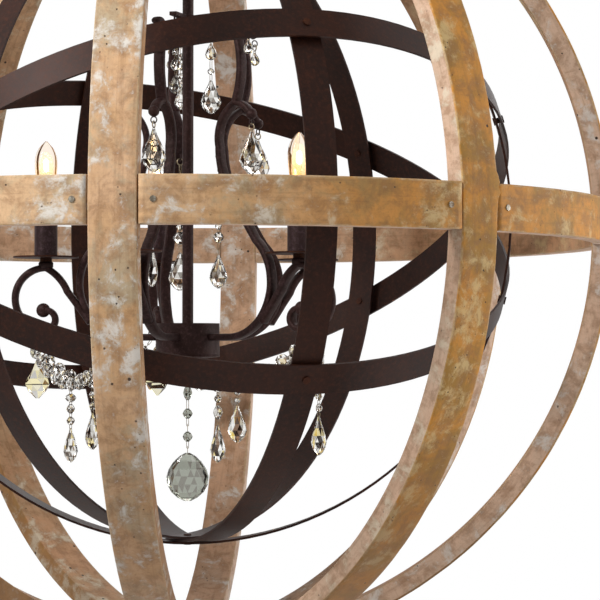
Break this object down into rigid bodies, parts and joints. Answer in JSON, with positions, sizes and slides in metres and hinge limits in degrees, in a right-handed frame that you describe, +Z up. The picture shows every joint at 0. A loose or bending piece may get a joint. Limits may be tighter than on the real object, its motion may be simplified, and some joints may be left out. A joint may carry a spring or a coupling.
{
  "type": "orb chandelier",
  "caption": "Spherical timber orb chandelier with nested iron strap rings and an inner candelabra of iron scrolls hung with cut crystals",
  "frame": {"origin": "the middle of the mounting strap's flat top, where it meets the ceiling", "axes": "+Z up, along the chain and the stem; the chandelier hangs below the origin; the picture looks from about 8 degrees to the +X side of -Y"},
  "size_m": [0.9142, 0.9142, 1.1208],
  "materials": {
    "timber": "weathered reclaimed timber with pale flaking paint",
    "rusted_iron": "dark rust-brown strap iron",
    "fixings": "dull darkened steel",
    "plate_iron": "dark rust-brown iron",
    "bulb_glass": "clear glass with a warm glow",
    "socket_plastic": "dark insulating plastic",
    "dark_bronze": "dark bronze paint",
    "clear_crystal": "clear cut crystal",
    "champagne_crystal": "champagne cut crystal",
    "black_iron": "black-brown wrought iron"
  },
  "bodies": {
    "ceiling_mount": {"mounting_strap": "fixings", "strap_nipple": "fixings", "canopy": "black_iron", "canopy_loop": "black_iron"},
    "orb": {"backing_plates": "plate_iron", "band_nails": "fixings", "bulbs": "bulb_glass", "candle_sleeves": "dark_bronze", "crystal_spider": "black_iron", "drip_pans": "dark_bronze", "equator_band": "timber", "hoop_1": "timber", "hoop_2": "timber", "hoop_3": "timber", "hoop_4": "timber", "hub_cap": "black_iron", "hub_drum": "black_iron", "lamp_sockets": "socket_plastic", "pole_plates": "plate_iron", "pole_screws": "fixings", "ring_rivets": "fixings", "scroll_arms": "black_iron", "stem": "black_iron", "stem_nuts": "fixings", "tilted_ring_1": "rusted_iron", "tilted_ring_2": "rusted_iron", "top_loop": "black_iron", "upright_ring_1": "rusted_iron", "upright_ring_2": "rusted_iron", "upright_ring_3": "rusted_iron"},
    "chain_link_1": {"chain_link_1": "black_iron"},
    "chain_link_2": {"chain_link_2": "black_iron"},
    "chain_link_3": {"chain_link_3": "black_iron"},
    "centre_string": {"centre_string": "champagne_crystal"},
    "curl_pendant_1": {"curl_pendant_1": "champagne_crystal"},
    "curl_pendant_2": {"curl_pendant_2": "champagne_crystal"},
    "curl_pendant_3": {"curl_pendant_3": "champagne_crystal"},
    "curl_pendant_4": {"curl_pendant_4": "champagne_crystal"},
    "curl_pendant_5": {"curl_pendant_5": "champagne_crystal"},
    "festoon_1": {"festoon_1": "champagne_crystal"},
    "festoon_2": {"festoon_2": "champagne_crystal"},
    "festoon_3": {"festoon_3": "champagne_crystal"},
    "festoon_4": {"festoon_4": "champagne_crystal"},
    "festoon_5": {"festoon_5": "champagne_crystal"},
    "neck_string_1": {"neck_string_1": "clear_crystal"},
    "neck_string_2": {"neck_string_2": "clear_crystal"},
    "neck_string_3": {"neck_string_3": "clear_crystal"},
    "spider_string_1": {"spider_string_1": "clear_crystal"},
    "spider_string_2": {"spider_string_2": "clear_crystal"},
    "spider_string_3": {"spider_string_3": "clear_crystal"},
    "tip_drop_1": {"tip_drop_1": "champagne_crystal"},
    "tip_drop_2": {"tip_drop_2": "champagne_crystal"},
    "tip_drop_3": {"tip_drop_3": "champagne_crystal"},
    "tip_drop_4": {"tip_drop_4": "champagne_crystal"},
    "tip_drop_5": {"tip_drop_5": "champagne_crystal"},
    "upper_pendant_1": {"upper_pendant_1": "clear_crystal"},
    "upper_pendant_2": {"upper_pendant_2": "clear_crystal"},
    "upper_pendant_3": {"upper_pendant_3": "clear_crystal"},
    "upper_pendant_4": {"upper_pendant_4": "clear_crystal"},
    "upper_pendant_5": {"upper_pendant_5": "clear_crystal"}
  },
  "joints": [
    {"name": "chain_link_1_swing", "type": "hinge", "parent": "ceiling_mount", "child": "chain_link_1", "pos_m": [0, 0, -0.05125], "axis": [1, 0, 0], "range_deg": [-8, 8]},
    {"name": "chain_link_2_swing", "type": "hinge", "parent": "chain_link_1", "child": "chain_link_2", "pos_m": [0, 0, -0.09105], "axis": [0, 1, 0], "range_deg": [-8, 8]},
    {"name": "chain_link_3_swing", "type": "hinge", "parent": "chain_link_2", "child": "chain_link_3", "pos_m": [0, 0, -0.13085], "axis": [1, 0, 0], "range_deg": [-8, 8]},
    {"name": "orb_swing", "type": "hinge", "parent": "chain_link_3", "child": "orb", "pos_m": [0, 0, -0.17065], "axis": [0, 1, 0], "range_deg": [-8, 8]},
    {"name": "upper_pendant_1_swing", "type": "hinge", "parent": "orb", "child": "upper_pendant_1", "pos_m": [0.07548, -0.04902, -0.5514], "axis": [0.5446, 0.8387, 0], "range_deg": [-15, 15]},
    {"name": "tip_drop_1_swing", "type": "hinge", "parent": "orb", "child": "tip_drop_1", "pos_m": [0.07187, -0.04668, -0.45345], "axis": [0.8387, -0.5446, 0], "range_deg": [-15, 15]},
    {"name": "curl_pendant_1_swing", "type": "hinge", "parent": "orb", "child": "curl_pendant_1", "pos_m": [0.13754, -0.08932, -0.77765], "axis": [0.5446, 0.8387, 0], "range_deg": [-10, 10]},
    {"name": "festoon_1_swing", "type": "hinge", "parent": "orb", "child": "festoon_1", "pos_m": [0.14213, 0.00745, -0.77355], "axis": [-0.0523, 0.9986, 0], "range_deg": [-8, 8]},
    {"name": "upper_pendant_2_swing", "type": "hinge", "parent": "orb", "child": "upper_pendant_2", "pos_m": [0.06994, 0.05664, -0.5514], "axis": [-0.6293, 0.7771, 0], "range_deg": [-15, 15]},
    {"name": "tip_drop_2_swing", "type": "hinge", "parent": "orb", "child": "tip_drop_2", "pos_m": [0.0666, 0.05393, -0.45345], "axis": [0.7771, 0.6293, 0], "range_deg": [-15, 15]},
    {"name": "curl_pendant_2_swing", "type": "hinge", "parent": "orb", "child": "curl_pendant_2", "pos_m": [0.12745, 0.10321, -0.77765], "axis": [-0.6293, 0.7771, 0], "range_deg": [-10, 10]},
    {"name": "festoon_2_swing", "type": "hinge", "parent": "orb", "child": "festoon_2", "pos_m": [0.03684, 0.13748, -0.77355], "axis": [-0.9659, 0.2588, 0], "range_deg": [-8, 8]},
    {"name": "upper_pendant_3_swing", "type": "hinge", "parent": "orb", "child": "upper_pendant_3", "pos_m": [-0.03225, 0.08402, -0.5514], "axis": [-0.9336, -0.3584, 0], "range_deg": [-15, 15]},
    {"name": "tip_drop_3_swing", "type": "hinge", "parent": "orb", "child": "tip_drop_3", "pos_m": [-0.03071, 0.08001, -0.45345], "axis": [-0.3584, 0.9336, 0], "range_deg": [-15, 15]},
    {"name": "curl_pendant_3_swing", "type": "hinge", "parent": "orb", "child": "curl_pendant_3", "pos_m": [-0.05877, 0.15311, -0.77765], "axis": [-0.9336, -0.3584, 0], "range_deg": [-10, 10]},
    {"name": "festoon_3_swing", "type": "hinge", "parent": "orb", "child": "festoon_3", "pos_m": [-0.11936, 0.07752, -0.77355], "axis": [-0.5446, -0.8387, 0], "range_deg": [-8, 8]},
    {"name": "upper_pendant_4_swing", "type": "hinge", "parent": "orb", "child": "upper_pendant_4", "pos_m": [-0.08988, -0.00471, -0.5514], "axis": [0.0523, -0.9986, 0], "range_deg": [-15, 15]},
    {"name": "tip_drop_4_swing", "type": "hinge", "parent": "orb", "child": "tip_drop_4", "pos_m": [-0.08558, -0.00449, -0.45345], "axis": [-0.9986, -0.0523, 0], "range_deg": [-15, 15]},
    {"name": "curl_pendant_4_swing", "type": "hinge", "parent": "orb", "child": "curl_pendant_4", "pos_m": [-0.16378, -0.00858, -0.77765], "axis": [0.0523, -0.9986, 0], "range_deg": [-10, 10]},
    {"name": "festoon_4_swing", "type": "hinge", "parent": "orb", "child": "festoon_4", "pos_m": [-0.11061, -0.08957, -0.77355], "axis": [0.6293, -0.7771, 0], "range_deg": [-8, 8]},
    {"name": "upper_pendant_5_swing", "type": "hinge", "parent": "orb", "child": "upper_pendant_5", "pos_m": [-0.02329, -0.08693, -0.5514], "axis": [0.9659, -0.2588, 0], "range_deg": [-15, 15]},
    {"name": "tip_drop_5_swing", "type": "hinge", "parent": "orb", "child": "tip_drop_5", "pos_m": [-0.02218, -0.08278, -0.45345], "axis": [-0.2588, -0.9659, 0], "range_deg": [-15, 15]},
    {"name": "curl_pendant_5_swing", "type": "hinge", "parent": "orb", "child": "curl_pendant_5", "pos_m": [-0.04245, -0.15841, -0.77765], "axis": [0.9659, -0.2588, 0], "range_deg": [-10, 10]},
    {"name": "festoon_5_swing", "type": "hinge", "parent": "orb", "child": "festoon_5", "pos_m": [0.05101, -0.13287, -0.77355], "axis": [0.9336, 0.3584, 0], "range_deg": [-8, 8]},
    {"name": "spider_string_1_swing", "type": "hinge", "parent": "orb", "child": "spider_string_1", "pos_m": [0.02768, -0.01797, -0.4374], "axis": [0.8387, -0.5446, 0], "range_deg": [-4, 4]},
    {"name": "spider_string_2_swing", "type": "hinge", "parent": "orb", "child": "spider_string_2", "pos_m": [-0.01183, 0.03081, -0.4374], "axis": [-0.3584, 0.9336, 0], "range_deg": [-4, 4]},
    {"name": "spider_string_3_swing", "type": "hinge", "parent": "orb", "child": "spider_string_3", "pos_m": [-0.00854, -0.03188, -0.4374], "axis": [-0.2588, -0.9659, 0], "range_deg": [-4, 4]},
    {"name": "neck_string_1_swing", "type": "hinge", "parent": "orb", "child": "neck_string_1", "pos_m": [0.03031, 0.02454, -0.5808], "axis": [0.7771, 0.6293, 0], "range_deg": [-6, 6]},
    {"name": "neck_string_2_swing", "type": "hinge", "parent": "orb", "child": "neck_string_2", "pos_m": [-0.01398, 0.03641, -0.5808], "axis": [-0.3584, 0.9336, 0], "range_deg": [-6, 6]},
    {"name": "neck_string_3_swing", "type": "hinge", "parent": "orb", "child": "neck_string_3", "pos_m": [-0.03895, -0.00204, -0.5808], "axis": [-0.9986, -0.0523, 0], "range_deg": [-6, 6]},
    {"name": "centre_string_swing", "type": "hinge", "parent": "orb", "child": "centre_string", "pos_m": [0, 0, -0.81249], "axis": [1, 0, 0], "range_deg": [-15, 15]}
  ]
}
